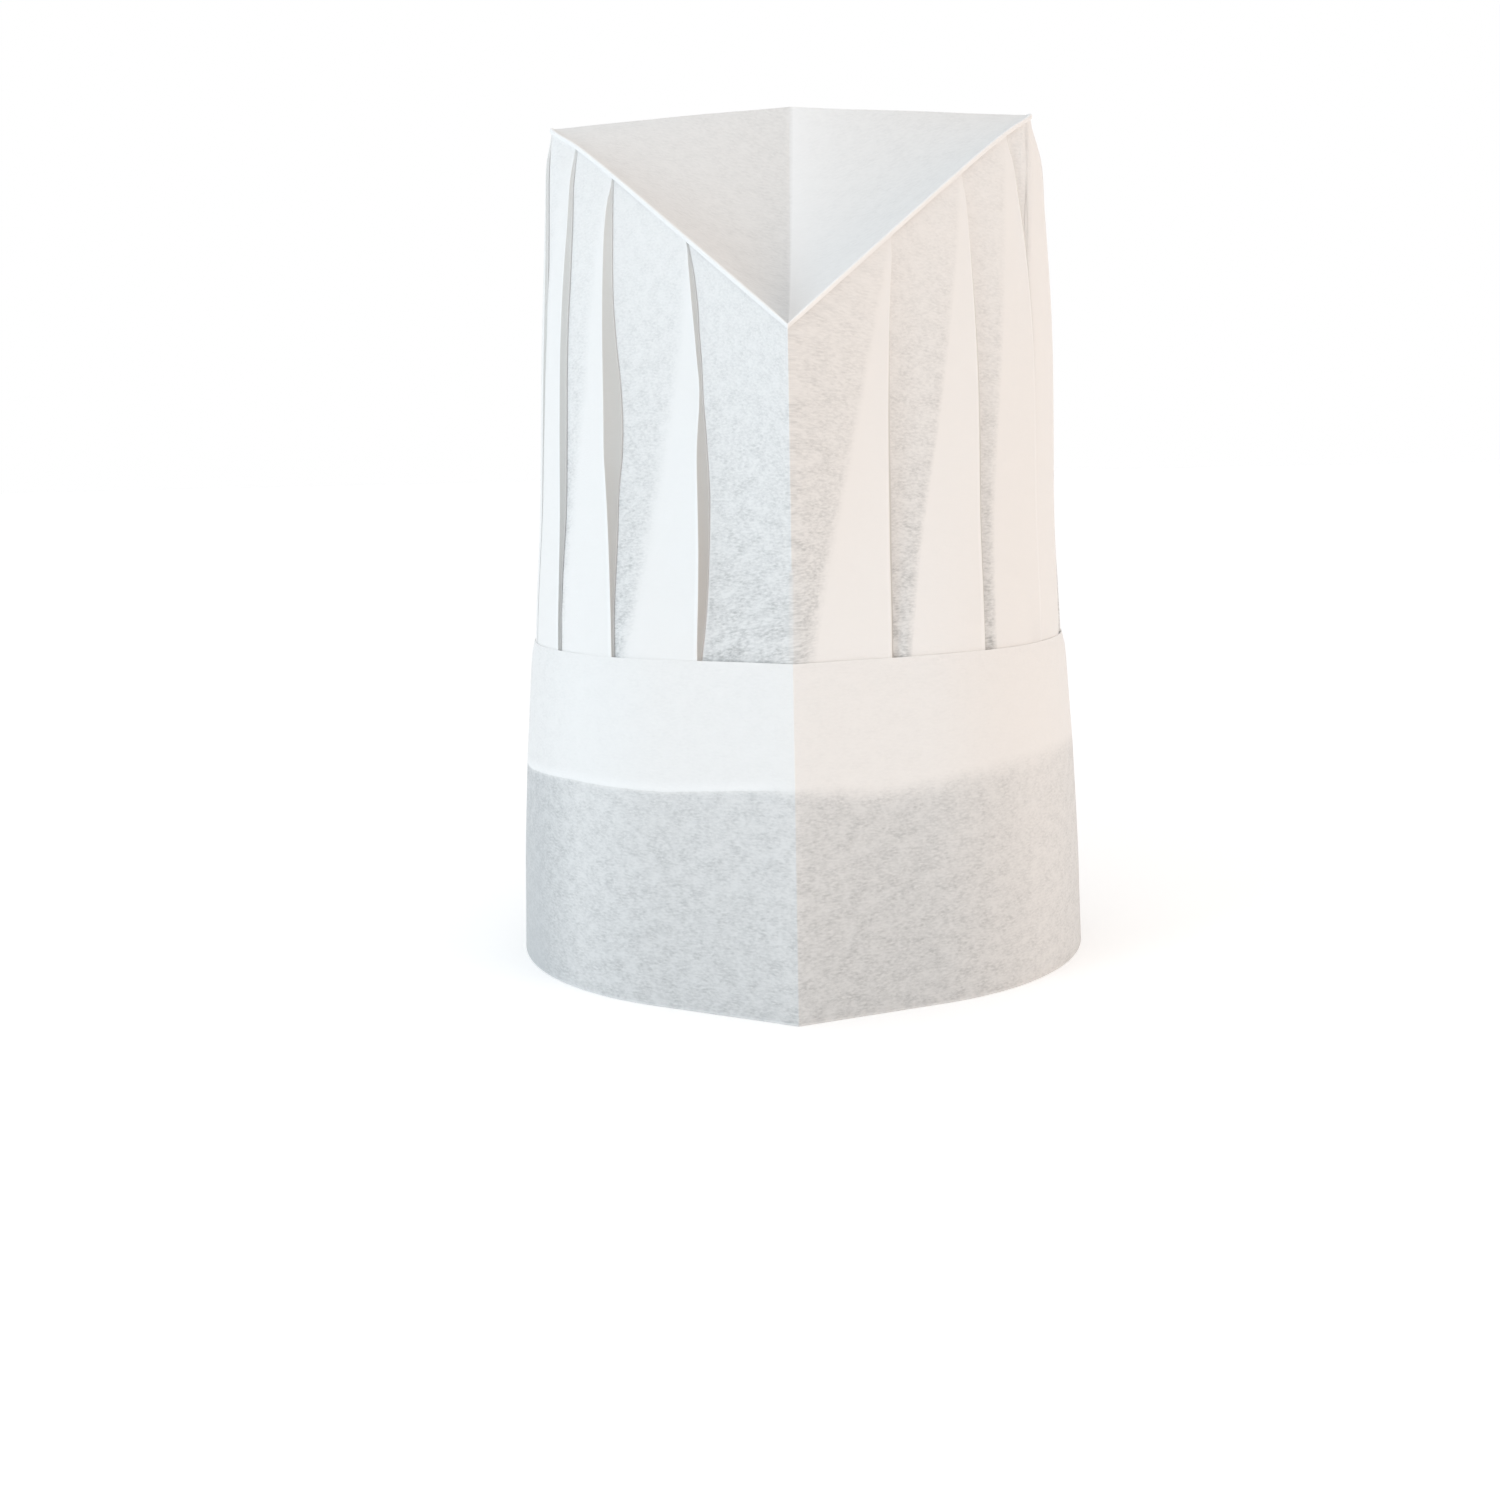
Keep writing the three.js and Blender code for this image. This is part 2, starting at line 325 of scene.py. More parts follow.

# by rise, in mm: drift of the free edge along the wall, width of the slit beside it that gets
# painted shade, and how far the edge lifts
plainPleat = {
    "drift": [(0, 0.5), (0.5, 0), (1, -0.5)],
    "slit": [(0, 0.4), (0.5, 1.0), (1, 0.2)],
    "lift": [(0, 0.2), (0.3, 0.9), (0.6, 1.1), (0.85, 0.4), (1, 0)],
}
frontPleats = {
    "left1": {
        "drift": [
            (0, -0.85), (0.05, -0.5), (0.14, 0.2), (0.235, 0.85), (0.377, 2.0), (0.5, 3.15), (0.56, 4.25),
            (0.61, 5.25), (0.67, 5.8), (0.72, 5.5), (0.78, 5.1), (0.86, 4.5), (0.94, 3.6), (1, 1.6),
        ],
        "slit": [
            (0, 0.8), (0.05, 1.6), (0.14, 2.4), (0.235, 2.9), (0.5, 3.1), (0.56, 2.1), (0.61, 0.9),
            (0.67, 0.3), (0.72, 0.9), (0.78, 1), (0.86, 1.5), (0.94, 0.9), (1, 0.25),
        ],
        "lift": [(0, 0.3), (0.1, 1.8), (0.3, 2.6), (0.52, 2.2), (0.68, 1.0), (0.8, 1.4), (0.9, 1.3), (1, 0)],
    },
    "left2": {
        "drift": [
            (0, -0.6), (0.06, -0.6), (0.16, -1.1), (0.25, -1.7), (0.34, -2.15), (0.41, -2.5),
            (0.48, -2.15), (0.55, -1.9), (0.65, -1.8), (0.72, -1.65), (0.79, -1.2), (0.89, 0.25),
            (0.95, 2.05), (1, 3.9),
        ],
        "slit": [
            (0, 0.25), (0.06, 0.35), (0.16, 1.65), (0.25, 3.25), (0.34, 4.75), (0.41, 6.95), (0.48, 7.45),
            (0.55, 7.05), (0.65, 5.25), (0.72, 4.15), (0.79, 3.55), (0.89, 2.65), (0.95, 1.35), (1, 0.25),
        ],
        "lift": [
            (0, 0.2), (0.12, 1.2), (0.35, 2.8), (0.5, 3.6), (0.62, 3.2), (0.78, 2.0), (0.92, 1.0), (1, 0),
        ],
    },
    "left3": {
        "drift": [
            (0, 1.8), (0.14, 1.75), (0.27, 1.75), (0.385, 1.95), (0.475, 2.2), (0.61, 2.65),
            (0.75, 3.75), (0.84, 5.0), (0.91, 5.9), (1, 7.6),
        ],
        "slit": [
            (0, 0.8), (0.14, 0.8), (0.27, 2.4), (0.385, 2.8), (0.61, 2.6), (0.75, 2.4), (0.84, 1.6),
            (0.91, 0.8), (1, 0.25),
        ],
        "lift": [(0, 0.2), (0.2, 1.2), (0.5, 1.5), (0.8, 1.2), (0.95, 0.5), (1, 0)],
    },
    "left4": {
        "drift": [(0, 7.2), (0.3, 7.6), (0.5, 7.6), (0.7, 5.8), (0.85, 2.8), (1, -1.0)],
        "slit": [(0, 0.5), (0.5, 1.0), (1, 0.3)],
        "lift": [(0, 0.1), (0.3, 0.5), (0.6, 0.5), (0.9, 0.2), (1, 0)],
    },
    "right1": {
        "soft": 5.5,
        "drift": [(0, 1.1), (0.3, -0.6), (0.6, -2.8), (0.85, -3.0), (1, -2.2)],
        "slit": plainPleat["slit"],
        "lift": [(0, 0.2), (0.3, 0.7), (0.6, 0.7), (0.85, 0.3), (1, 0)],
    },
    "right2": {
        "drift": [(0, 2.8), (0.2, 1.9), (0.6, -0.7), (0.85, -4.2), (1, -7.4)],
        "slit": plainPleat["slit"],
        "lift": [(0, 0.2), (0.3, 0.8), (0.6, 0.8), (0.85, 0.3), (1, 0)],
    },
    "right3": {
        "drift": [(0, 2.9), (0.3, 1.6), (0.56, -0.1), (0.8, -3.6), (1, -8.0)],
        "slit": plainPleat["slit"],
        "lift": [(0, 0.2), (0.3, 0.8), (0.6, 0.8), (0.85, 0.3), (1, 0)],
    },
    "right4": {
        "drift": [(0, -8.0), (0.3, -5.0), (0.6, -3.0), (1, -3.0)],
        "slit": plainPleat["slit"],
        "lift": [(0, 0.2), (0.3, 0.8), (0.6, 0.8), (0.85, 0.3), (1, 0)],
    },
}


def wallPoint(turn, rise):
    if rise <= 0:
        height = mix(bandTop, crownSettings["footHeight"], -rise)
        return bandPoint(turn, height, crownSettings["inset"])
    low = bandPoint(turn, bandTop, crownSettings["inset"])
    return low.lerp(foldPoint(turn), rise)


def wallStep(turn, rise):
    return (wallPoint(turn + 0.01, rise) - wallPoint(turn - 0.01, rise)) / 0.02


def wallOut(turn, rise):
    step = wallStep(turn, rise)
    return Vector((step.y, -step.x, 0)).normalized()


# 1 at the middle of a side, falling to 0 at the creases
def sideShare(turn):
    return abs(math.sin(math.pi * turn / 2))


# how far out the wall stands from its plain shape: fuller on the right side, pulled in towards
# the top, and rounded in at the very top of the side corners
def sideShift(turn, rise):
    s = crownSettings
    onRight = 0 < turn % 4 < 2
    full = s["rightFull"] * sideShare(turn) ** 2 * easeIn(rise / s["fullRise"]) if onRight else 0.0
    drawn = s["drawnIn"] * easeIn((rise - s["drawnRise"]) / (1 - s["drawnRise"]))
    tuck = s["rightTuck"] if onRight else s["leftTuck"]
    tuck *= easeIn((rise - s["tuckRise"]) / (1 - s["tuckRise"])) ** 2
    return full - drawn - tuck * sideShare(turn) ** s["tuckPower"]


def pleatList():
    pleats = []
    count = crownSettings["pleatsPerSide"]
    for middle in (1, 3):
        for i in range(count):
            edge = middle + (i - (count - 1) / 2) * crownSettings["pitch"]
            number = i + 1 if middle == 1 else count - i
            side = "right" if middle == 1 else "left"
            name = side + str(number)
            pleat = dict(frontPleats.get(name, plainPleat))
            pleat["edge"] = edge
            pleat["front"] = name in frontPleats
            pleat.setdefault("soft", crownSettings["softRight" if middle == 1 else "softLeft"])
            pleats.append(pleat)
    return sorted(pleats, key=lambda pleat: pleat["edge"])


# soft waves that no flat-packed cloth is free of, dying out at the foot and the rim
def ripple(turn, rise):
    s = crownSettings
    broad = noise.noise(Vector((turn * s["rippleSize"][0], rise * s["rippleSize"][1], 4.7)))
    fine = noise.noise(Vector((turn * s["fineSize"][0], rise * s["fineSize"][1], 9.1)))
    start, above = s["rippleFade"]
    fade = easeIn((rise + start) / (start + above)) * easeIn((1 - rise) / s["rimCalm"])
    return s["ripple"] * (broad + s["fineRipple"] * fine) * fade


# a lifted edge is seen further out than its foot,
# so the foot moves along the wall by this much for each mm of lift
def seenShift(turn, rise):
    point = wallPoint(turn, rise)
    turned = math.radians(cameraView["turned"])
    eye = Vector((math.sin(turned), -math.cos(turned), 0)) * cameraView["distance"] / mm
    toEye = Vector((eye.x - point.x, eye.y - point.y, 0))
    facing = toEye.normalized().dot(wallOut(turn, rise))
    across = toEye.normalized().dot(wallStep(turn, rise).normalized())
    return across / max(crownSettings["leastFacing"], facing)


def pleatAt(pleat, rise):
    up = max(0.0, rise)
    step = wallStep(pleat["edge"], rise).length
    s = crownSettings
    under = s["underlay"] * (1 - up ** s["underlayPower"]) + s["underlayLeast"]
    drift = curveValue(pleat["drift"], up)
    slit = curveValue(pleat["slit"], up)
    lift = min(curveValue(pleat["lift"], up), s["liftShare"] * under) * easeIn(1 + min(0.0, rise) * 4)
    shift = 0.0
    if pleat["front"]:
        shift = seenShift(pleat["edge"], rise)
        lift = min(lift, s["leanShare"] * slit / shift) if shift > s["leastLean"] else lift
        shift *= lift
    return {
        "edge": pleat["edge"] + (drift + shift) / step,
        "hem": pleat["edge"] + (drift + max(slit, shift + s["hemPast"])) / step,
        "under": pleat["edge"] + (drift + shift - under) / step,
        "width": under,
        "lift": lift,
        "soft": pleat["soft"],
    }


# columns of one row of the crown: turn, how far out, layers there, panel number, painted slit shade, free
# edge for the painted highlight
def crownRow(pleats, rise):
    s = crownSettings
    inner = s["innerLayer"]
    gap = s["layerGap"]
    outer = inner + 2 * gap
    hemOut = inner + s["hemOut"]
    found = [pleatAt(pleat, rise) for pleat in pleats]
    columns = []
    for k, here in enumerate(found):
        after = dict(found[(k + 1) % len(found)])
        if k == len(found) - 1:
            for key in ("edge", "hem", "under"):
                after[key] += 4
        perMm = (after["edge"] - after["under"]) / after["width"]
        blur = min(s["blur"], s["blurShare"] * after["width"]) * perMm
        # laid under the pleat, from its inner fold to its hem
        for t in s["tuckedColumns"]:
            columns.append((mix(here["under"], here["hem"], t), inner, 1.0, k, 0.0, 0.0))
        # shown as one layer
        start = here["hem"]
        stop = after["under"] - blur
        crease = 2 * math.floor(stop / 2)
        if start < crease < stop:
            stops = [mix(start, crease, t) for t in s["columnsToCrease"]]
            stops += [mix(crease, stop, t) for t in s["columnsPastCrease"]]
        else:
            stops = [mix(start, stop, t) for t in s["openColumns"]]
        for turn in stops + [stop]:
            t = (turn - start) / (after["under"] - start)
            soft = easeIn(0.5 + (turn - after["under"]) / perMm / after["soft"])
            columns.append((turn, inner + 2 * gap * easeIn(t), soft, k, 0.0, 0.0))
        # over the next pleat, out to its free edge
        for t in s["overColumns"]:
            turn = mix(after["under"] + blur, after["edge"], t)
            x = (turn - after["under"]) / (after["edge"] - after["under"])
            soft = easeIn(0.5 + (turn - after["under"]) / perMm / after["soft"])
            out = outer + after["lift"] * x ** s["liftPower"]
            columns.append((turn, out, soft, k, 0.0, float(t > s["edgeStart"])))
        # down the slit, which gets painted shade, to the hem, round it and back to the inner fold
        top = outer + after["lift"]
        bottom = hemOut + 2 * s["hemRadius"]
        for t in s["slitColumns"]:
            turn = mix(after["edge"], after["hem"], t)
            columns.append((turn, mix(top, bottom, t + s["slitBow"] * t * (1 - t)), 1.0, k, 1.0, 0.0))
        for angle in s["hemAngles"]:
            a = math.radians(angle)
            turn = after["hem"] + s["hemRadius"] * math.sin(a) * perMm
            shade = 1.0 if angle < 90 else s["hemShade"]
            columns.append((turn, hemOut + s["hemRadius"] * (1 + math.cos(a)), 1.0, k, shade, 0.0))
        for t in s["backColumns"]:
            turn = mix(after["hem"], after["under"], t)
            columns.append((turn, mix(hemOut, inner + gap, easeIn(t * 3)), 1.0, k, 0.0, 0.0))
        for angle in s["foldAngles"]:
            a = math.radians(angle)
            turn = after["under"] - gap / 2 * math.sin(a) * perMm
            columns.append((turn, inner + gap / 2 * (1 + math.cos(a)), 1.0, k, 0.0, 0.0))
    return columns


# distance round the hat from turn 0, at each of the turns
def distancesAt(turns, stepLength):
    keys = [i / stepsPerTurn for i in range(math.ceil(max(turns) * stepsPerTurn) + 1)]
    along = np.cumsum([0.0] + [stepLength(key) for key in keys[:-1]])
    return [float(distance) for distance in np.interp(turns, keys, along)]


def makeCrown():
    s = crownSettings
    pleats = pleatList()
    rises = s["rowsBelow"] + [i / s["rowsAbove"] for i in range(s["rowsAbove"] - 1)] + s["rowsRim"]
    rows = []
    uvRows = []
    attributes = {"layers": [], "paintedHighlight": [], "slitShade": []}
    for rise in rises:
        columns = crownRow(pleats, rise)
        # painted highlight along the top rows, and further down along each free edge
        paintedHighlight = s["rimPaintedHighlight"] * min(1.0, max(0.0, (rise - s["rimStart"]) / (s["rimFull"] - s["rimStart"])))
        weld = easeIn((rise - s["weldStart"]) / (s["weldFull"] - s["weldStart"]))
        grip = s["grip"] * (1 - easeIn(rise / s["gripRise"]))
        points = []
        for turn, out, *_ in columns:
            out = mix(s["innerLayer"], out, 1 - s["weldSqueeze"] * weld) + grip
            out += sideShift(turn, rise) + ripple(turn, rise)
            points.append(wallPoint(turn, rise) + wallOut(turn, rise) * out)
        distances = distancesAt(
            [column[0] for column in columns], lambda turn: wallStep(turn, rise).length / stepsPerTurn
        )
        uvs = []
        for distance, point, column in zip(distances, points, columns):
            uvs.append(((distance + s["panelShift"] * column[3]) * mm, point.z * mm))
        rows.append(points)
        uvRows.append(uvs)
        attributes["layers"].append([layer for _, _, layer, _, _, _ in columns])
        attributes["paintedHighlight"].append([max(paintedHighlight, s["edgePaintedHighlight"] * edge) for *_, edge in columns])
        attributes["slitShade"].append([shade * (1 - paintedHighlight) for *_, shade, _ in columns])
    crown = sheetMesh("crownCloth", rows, uvRows, attributes, True)
    thicken(crown, s["thickness"], s["sharpAngle"])
    return crown


crownCloth = makeCrown()
print("crown pleated")

topSettings = {
    "lip": [(1.26, -1.0), (1.3, -0.4), (1.22, 0.05), (1.0, 0.22), (0.65, 0.2), (0.25, 0.0)],   # out, up
    "lipTaper": 0.6,             # share of the lip that runs out at the side corners
    "taperPower": 24,
    "lipFoot": (0.25, 0.1),      # how far out the lip's inner side stands, at its top and at its foot
    "rimDrop": 1.2,
    "dropPower": 4,
    "notchBack": 0.5,
    "sharpAngle": 12,
    "mergeWithin": 0.02,
    "waveScale": 0.02,
    "thickness": 0.3,
    "spans": 36,
    "dropRows": (0.5, 1.0),
    "rows": (0.02, 0.05, 0.1, 0.17, 0.25, 0.33, 0.42, 0.5, 0.58, 0.67, 0.75, 0.83, 0.9, 0.95, 0.98, 1.0),
    "wave": 0.8,
    # painted highlight along the lip
    "rimPaintedHighlight": 0.45,
    "creaseWidth": 16.0,         # mm either side of the valley over which its painted shade and painted light fall off
}


def valleyPoint(turn):
    share, side, end = quarterOf(turn)
    along = foldShare(share)
    notch = foldPoint(0 if end > 0 else 2)
    y = mix(notch.y + topSettings["notchBack"] * end, hatShape["peakBack"], along)
    z = mix(notch.z - topSettings["rimDrop"], hatShape["peakHeight"], along)
    return Vector((0, y, z - hatShape["valleySag"] * bulge(along)))


# the welded rim stands over the folded-in top, and runs out at the side corners
def rimDrop(turn):
    return topSettings["rimDrop"] * (1 - foldShare(quarterOf(turn)[0]) ** topSettings["dropPower"])


def topWave(point, t):
    scale = topSettings["waveScale"]
    wave = noise.noise(Vector((point.x * scale, point.y * scale, 2.2)))
    return topSettings["wave"] * wave * easeIn(bulge(t))


# the lip is narrower at the side corners
def topBorder(turn, out, up):
    out *= 1 - topSettings["lipTaper"] * sideShare(turn) ** topSettings["taperPower"]
    return foldPoint(turn) + wallOut(turn, 1) * (out + sideShift(turn, 1)) + Vector((0, 0, up))


# 1 beside the valley and falling off away from it, with a minus on its left: painted light on its right,
# painted shade on its left
def valleyShade(point):
    if abs(point.x) <= 0.01:
        return 0.0
    return math.copysign(math.exp(-abs(point.x) / topSettings["creaseWidth"]), point.x)


def makeTop():
    s = topSettings
    turns = [i / s["spans"] for i in range(4 * s["spans"])]
    rows = []
    highlightRows = []
    # the lip's rows carry a painted highlight, which fades out over the drop rows
    for out, up in s["lip"]:
        rows.append([topBorder(turn, out, up) for turn in turns])
        highlightRows.append([s["rimPaintedHighlight"]] * len(turns))
    for drop in s["dropRows"]:
        row = []
        for turn in turns:
            row.append(topBorder(turn, mix(*s["lipFoot"], drop), -rimDrop(turn) * drop))
        rows.append(row)
        highlightRows.append([s["rimPaintedHighlight"] * (1.0 - drop)] * len(turns))
    border = rows[-1]
    for t in s["rows"]:
        row = []
        for turn, start in zip(turns, border):
            along = foldShare(quarterOf(turn)[0])
            point = start.lerp(valleyPoint(turn), t)
            point.z -= hatShape["faceSag"] * bulge(along) * bulge(t)
            point.z += topWave(point, t)
            row.append(point)
        rows.append(row)
        highlightRows.append([0.0] * len(turns))
    uvRows = [[(p.x * mm, p.y * mm) for p in row] for row in rows]
    valleyShadesAndLights = [[valleyShade(p) for p in row] for row in rows]
    top = sheetMesh("topCloth", rows, uvRows, {"valleyShadeAndLight": valleyShadesAndLights, "paintedHighlight": highlightRows}, True)
    makeActive(top)
    bpy.ops.object.mode_set(mode="EDIT")
    bpy.ops.mesh.select_all(action="SELECT")
    bpy.ops.mesh.remove_doubles(threshold=s["mergeWithin"] * mm)
    bpy.ops.object.mode_set(mode="OBJECT")
    thicken(top, s["thickness"], s["sharpAngle"])
    return top


topCloth = makeTop()
print("top folded in")

bandSettings = {
    "thickness": 0.35,
    "outerInset": 0.2,
    "innerInset": 0.85,
    "foldRows": 5,
    "foldHeight": 0.5,           # where the two walls part from the fold at the bottom edge
    "innerHeight": 98.0,
    "heights": 26,
    "lapStart": 2.04,
    "lapEnd": 6.2,
    "lapOut": 0.8,
    "lapIn": 0.45,
    "lapFade": 0.1,
    "columns": 34,
    "ripple": 0.25,
    "rippleSize": (2.1, 0.02),   # waves in each turn and in each mm of height
    "edgeWave": 0.15,
    "edgeWaveSize": 6,
    "edgeWaveFrom": 60,
    "creaseGap": 0.008,          # in turns, on both sides of the sharp creases
    "sharpAngle": 40,
    "patternHeight": 50,         # where the length round the band is measured
    # by turn from the back lap round: where the crown's hidden foot ends, how softly,
    # and how much painted shade of the hollow shows below
    "hiddenEdge": [
        (2.04, 68), (2.6, 65), (3.0, 62), (3.2, 62.5), (3.45, 64), (3.7, 63.8), (3.95, 66.5), (4.02, 66.5),
        (4.2, 63.5), (4.5, 68), (4.8, 69), (5.0, 67), (5.2, 68), (6.2, 69),
    ],
    "edgeSoftness": [(2.04, 2), (3.0, 1.2), (3.9, 1.6), (4.1, 5), (4.5, 5.5), (5, 4), (6.2, 2)],
    # painted shade of the dark hollow seen through the band; the rise round turn 3.2 also darkens the band's
    # left edge as painted shade
    "insideShade": [
        (2.04, 0.8), (2.6, 1.0), (3.0, 1.4), (3.15, 2.0), (3.3, 2.1), (3.38, 1.4), (3.47, 0.8),
        (3.7, 1.05), (3.95, 0.95), (4.0, 0.85), (4.03, 1.05), (4.25, 1.15), (4.45, 0.8), (4.6, 0.5),
        (4.8, 0.65), (5.0, 0.95), (6.2, 0.8),
    ],
    "curl": 0.8,                 # the top edge leans in to the pleats
    "curlHeight": 96.0,
}


# the strip's first end lies outside at the lap, and its last end inside
def lapShift(turn):
    s = bandSettings
    over = 1 - easeIn((turn - (s["lapEnd"] - 4)) / s["lapFade"])
    under = easeIn((turn - (s["lapStart"] + 4) + s["lapFade"]) / s["lapFade"])
    return -s["lapOut"] * over + s["lapIn"] * under


def bandTurns():
    s = bandSettings
    turns = {s["lapStart"], s["lapEnd"]}
    for i in range(8 * s["columns"]):
        turn = i / s["columns"]
        if s["lapStart"] + 0.01 < turn < s["lapEnd"] - 0.01:
            turns.add(turn)
    for crease in (4.0, 6.0):
        turns.update((crease - s["creaseGap"], crease, crease + s["creaseGap"]))
    return sorted(turns)


# height and inset of each row, down the outer wall, round the fold and up the inner wall
def bandLevels():
    s = bandSettings
    shares = [i / s["heights"] for i in range(s["heights"] + 1)]
    middle = (s["outerInset"] + s["innerInset"]) / 2
    radius = (s["innerInset"] - s["outerInset"]) / 2
    levels = [(mix(bandTop, s["foldHeight"], share), s["outerInset"]) for share in shares]
    for i in range(1, s["foldRows"]):
        a = math.pi * i / s["foldRows"]
        levels.append((s["foldHeight"] - radius * math.sin(a), middle - radius * math.cos(a)))
    return levels + [(mix(s["foldHeight"], s["innerHeight"], share), s["innerInset"]) for share in shares]


def bandStepLength(turn):
    height = bandSettings["patternHeight"]
    return (bandPoint(turn + 1 / stepsPerTurn, height, 0) - bandPoint(turn, height, 0)).length


def makeBand():
    s = bandSettings
    turns = bandTurns()
    distances = distancesAt(turns, bandStepLength)
    attributes = {}
    for key, unit in (("hiddenEdge", mm), ("edgeSoftness", mm), ("insideShade", 1)):
        keys, values = zip(*s[key])
        attributes[key] = [float(value) * unit for value in np.interp(turns, keys, values)]
    rows = []
    uvRows = []
    travelled = 0.0
    before = None
    for level in bandLevels():
        height, inset = level
        travelled += 0 if before is None else math.dist(before, level)
        before = level
        row = []
        for turn in turns:
            wave = noise.noise(Vector((turn * s["rippleSize"][0], height * s["rippleSize"][1], 1.3)))
            fromLap = (turn - s["lapStart"]) / (s["lapEnd"] - s["lapStart"])
            shift = inset + lapShift(turn) - s["ripple"] * wave * easeIn(bulge(fromLap) * 3)
            shift += s["curl"] * easeIn((height - s["curlHeight"]) / (bandTop - s["curlHeight"]))
            point = bandPoint(turn, max(0.0, height), shift)
            point.z = height
            if height > s["edgeWaveFrom"]:
                point.z += s["edgeWave"] * noise.noise(Vector((turn * s["edgeWaveSize"], 0, 3.3)))
            row.append(point)
        rows.append(row)
        uvRows.append([(distance * mm, (bandTop - travelled) * mm) for distance in distances])
    tables = {key: [values] * len(rows) for key, values in attributes.items()}
    band = sheetMesh("bandCloth", rows[::-1], uvRows[::-1], tables, False)
    thicken(band, s["thickness"], s["sharpAngle"])
    return band


bandCloth = makeBand()
print("band turned up")


def addNode(tree, kind, place, **values):
    node = tree.nodes.new(kind)
    node.location = place
    for key, value in values.items():
        setattr(node, key, value)
    return node


def attributeValue(tree, place, name):
    return addNode(tree, "ShaderNodeAttribute", place, attribute_name=name).outputs["Fac"]


# a sum, product and the like of two or three values, each a socket or a number
def mathValue(tree, place, operation, *values):
    node = addNode(tree, "ShaderNodeMath", place, operation=operation)
    for socket, value in zip(node.inputs, values):
        if isinstance(value, float):
            socket.default_value = value
        else:
            tree.links.new(value, socket)
    return node.outputs[0]


# a value taken from the range between start and stop over to the one between low and high
def rangeValue(tree, place, value, start, stop, low=0.0, high=1.0, kind="LINEAR"):
    node = addNode(tree, "ShaderNodeMapRange", place, interpolation_type=kind)
    for name, number in (("From Min", start), ("From Max", stop), ("To Min", low), ("To Max", high)):
        node.inputs[name].default_value = number
    tree.links.new(value, node.inputs["Value"])
    return node.outputs["Result"]


def mixedColour(tree, place, first, second, factor):
    node = addNode(tree, "ShaderNodeMix", place, data_type="RGBA")
    for name, value in (("A", first), ("B", second)):
        if isinstance(value, tuple):
            node.inputs[name].default_value = value
        else:
            tree.links.new(value, node.inputs[name])
    tree.links.new(factor, node.inputs["Factor"])
    return node.outputs["Result"]


fibreSettings = {
    "streakSize": 1500,
    "cloudSize": 260,
    "streaks": ((12, 0.34), (-25, 0.42), (48, 0.5)),   # angle, and how far drawn out
    "streakShift": (0.31, 0.17, 0.05),
    "streakRange": (1.05, 1.95),
    "cloud": (-20, 0.75),
    "cloudRange": (0.3, 0.7),
    "cloudLeast": 0.3,
    "cloudRelief": 0.6,
    "detail": 3.0,
    "roughness": 0.6,
}


# noise that is turned and drawn out in one direction
def drawnNoise(group, inward, level, sizeName, angle, stretch, number):
    turn = addNode(group, "ShaderNodeMapping", (-850, level))
    turn.inputs["Rotation"].default_value = (0, 0, math.radians(angle))
    turn.inputs["Location"].default_value = [shift * number for shift in fibreSettings["streakShift"]]
    turn.inputs["Scale"].default_value = (stretch, 1, 1)
    drawn = addNode(group, "ShaderNodeTexNoise", (-600, level))
    drawn.inputs["Detail"].default_value = fibreSettings["detail"]
    drawn.inputs["Roughness"].default_value = fibreSettings["roughness"]
    group.links.new(inward.outputs["Cloth"], turn.inputs["Vector"])
    group.links.new(turn.outputs["Vector"], drawn.inputs["Vector"])
    group.links.new(inward.outputs[sizeName], drawn.inputs["Scale"])
    return drawn.outputs["Fac"]


# non-woven viscose: fine streaks that run mostly across the cloth, and cloudy thick and thin places
def makeFibreGroup(s):
    group = bpy.data.node_groups.new("viscoseFibres", "ShaderNodeTree")
    ends = group.interface
    ends.new_socket("Cloth", in_out="INPUT", socket_type="NodeSocketVector")
    for name, key in (("Streak Size", "streakSize"), ("Cloud Size", "cloudSize")):
        size = ends.new_socket(name, in_out="INPUT", socket_type="NodeSocketFloat")
        size.default_value = s[key]
    for name in ("Streaks", "Clouds", "Relief"):
        ends.new_socket(name, in_out="OUTPUT", socket_type="NodeSocketFloat")
    inward = addNode(group, "NodeGroupInput", (-1100, 0))
    outward = addNode(group, "NodeGroupOutput", (700, 0))
    found = []
    for i, (angle, stretch) in enumerate(s["streaks"]):
        found.append(drawnNoise(group, inward, 300 - 260 * i, "Streak Size", angle, stretch, i))
    both = mathValue(group, (-350, 150), "ADD", found[0], found[1])
    three = mathValue(group, (-180, 100), "ADD", both, found[2])
    streaks = rangeValue(group, (0, 150), three, *s["streakRange"])
    cloud = drawnNoise(group, inward, -500, "Cloud Size", *s["cloud"], 0)
    clouds = rangeValue(group, (-350, -500), cloud, *s["cloudRange"], s["cloudLeast"])
    relief = mathValue(group, (250, -100), "MULTIPLY_ADD", clouds, s["cloudRelief"], streaks)
    for name, value in (("Streaks", streaks), ("Clouds", clouds), ("Relief", relief)):
        group.links.new(value, outward.inputs[name])
    return group


fibreGroup = makeFibreGroup(fibreSettings)

clothFinish = {
    "thick": (0.785, 0.777, 0.768, 1),
    # single cloth is greyer, partly from its own thinness and partly as painted shade of the dark hollow
    # behind it
    "thin": (0.71, 0.71, 0.705, 1),
    "hole": (0.4, 0.405, 0.405, 1),
    # light white for the painted highlights on rim, lip and free edges and the painted light right of the
    # top's valley; also the band's light stripe and fold line
    "edge": (0.87, 0.87, 0.87, 1),
    # painted shade for the slits beside the free edges: lighter high up, darker at the band
    "slitShadeHigh": (0.715, 0.705, 0.68, 1),
    "slitShadeLow": (0.46, 0.45, 0.435, 1),
    "holeStart": 0.14,
    "holeFull": 0.68,
    "subsurface": 0.35,
    "subsurfaceScale": 0.0008,
    "roughness": 0.85,
    "specular": 0.25,
    "sheen": 0.1,
    "bump": 0.25,
    "bumpDepth": 0.00012,
}


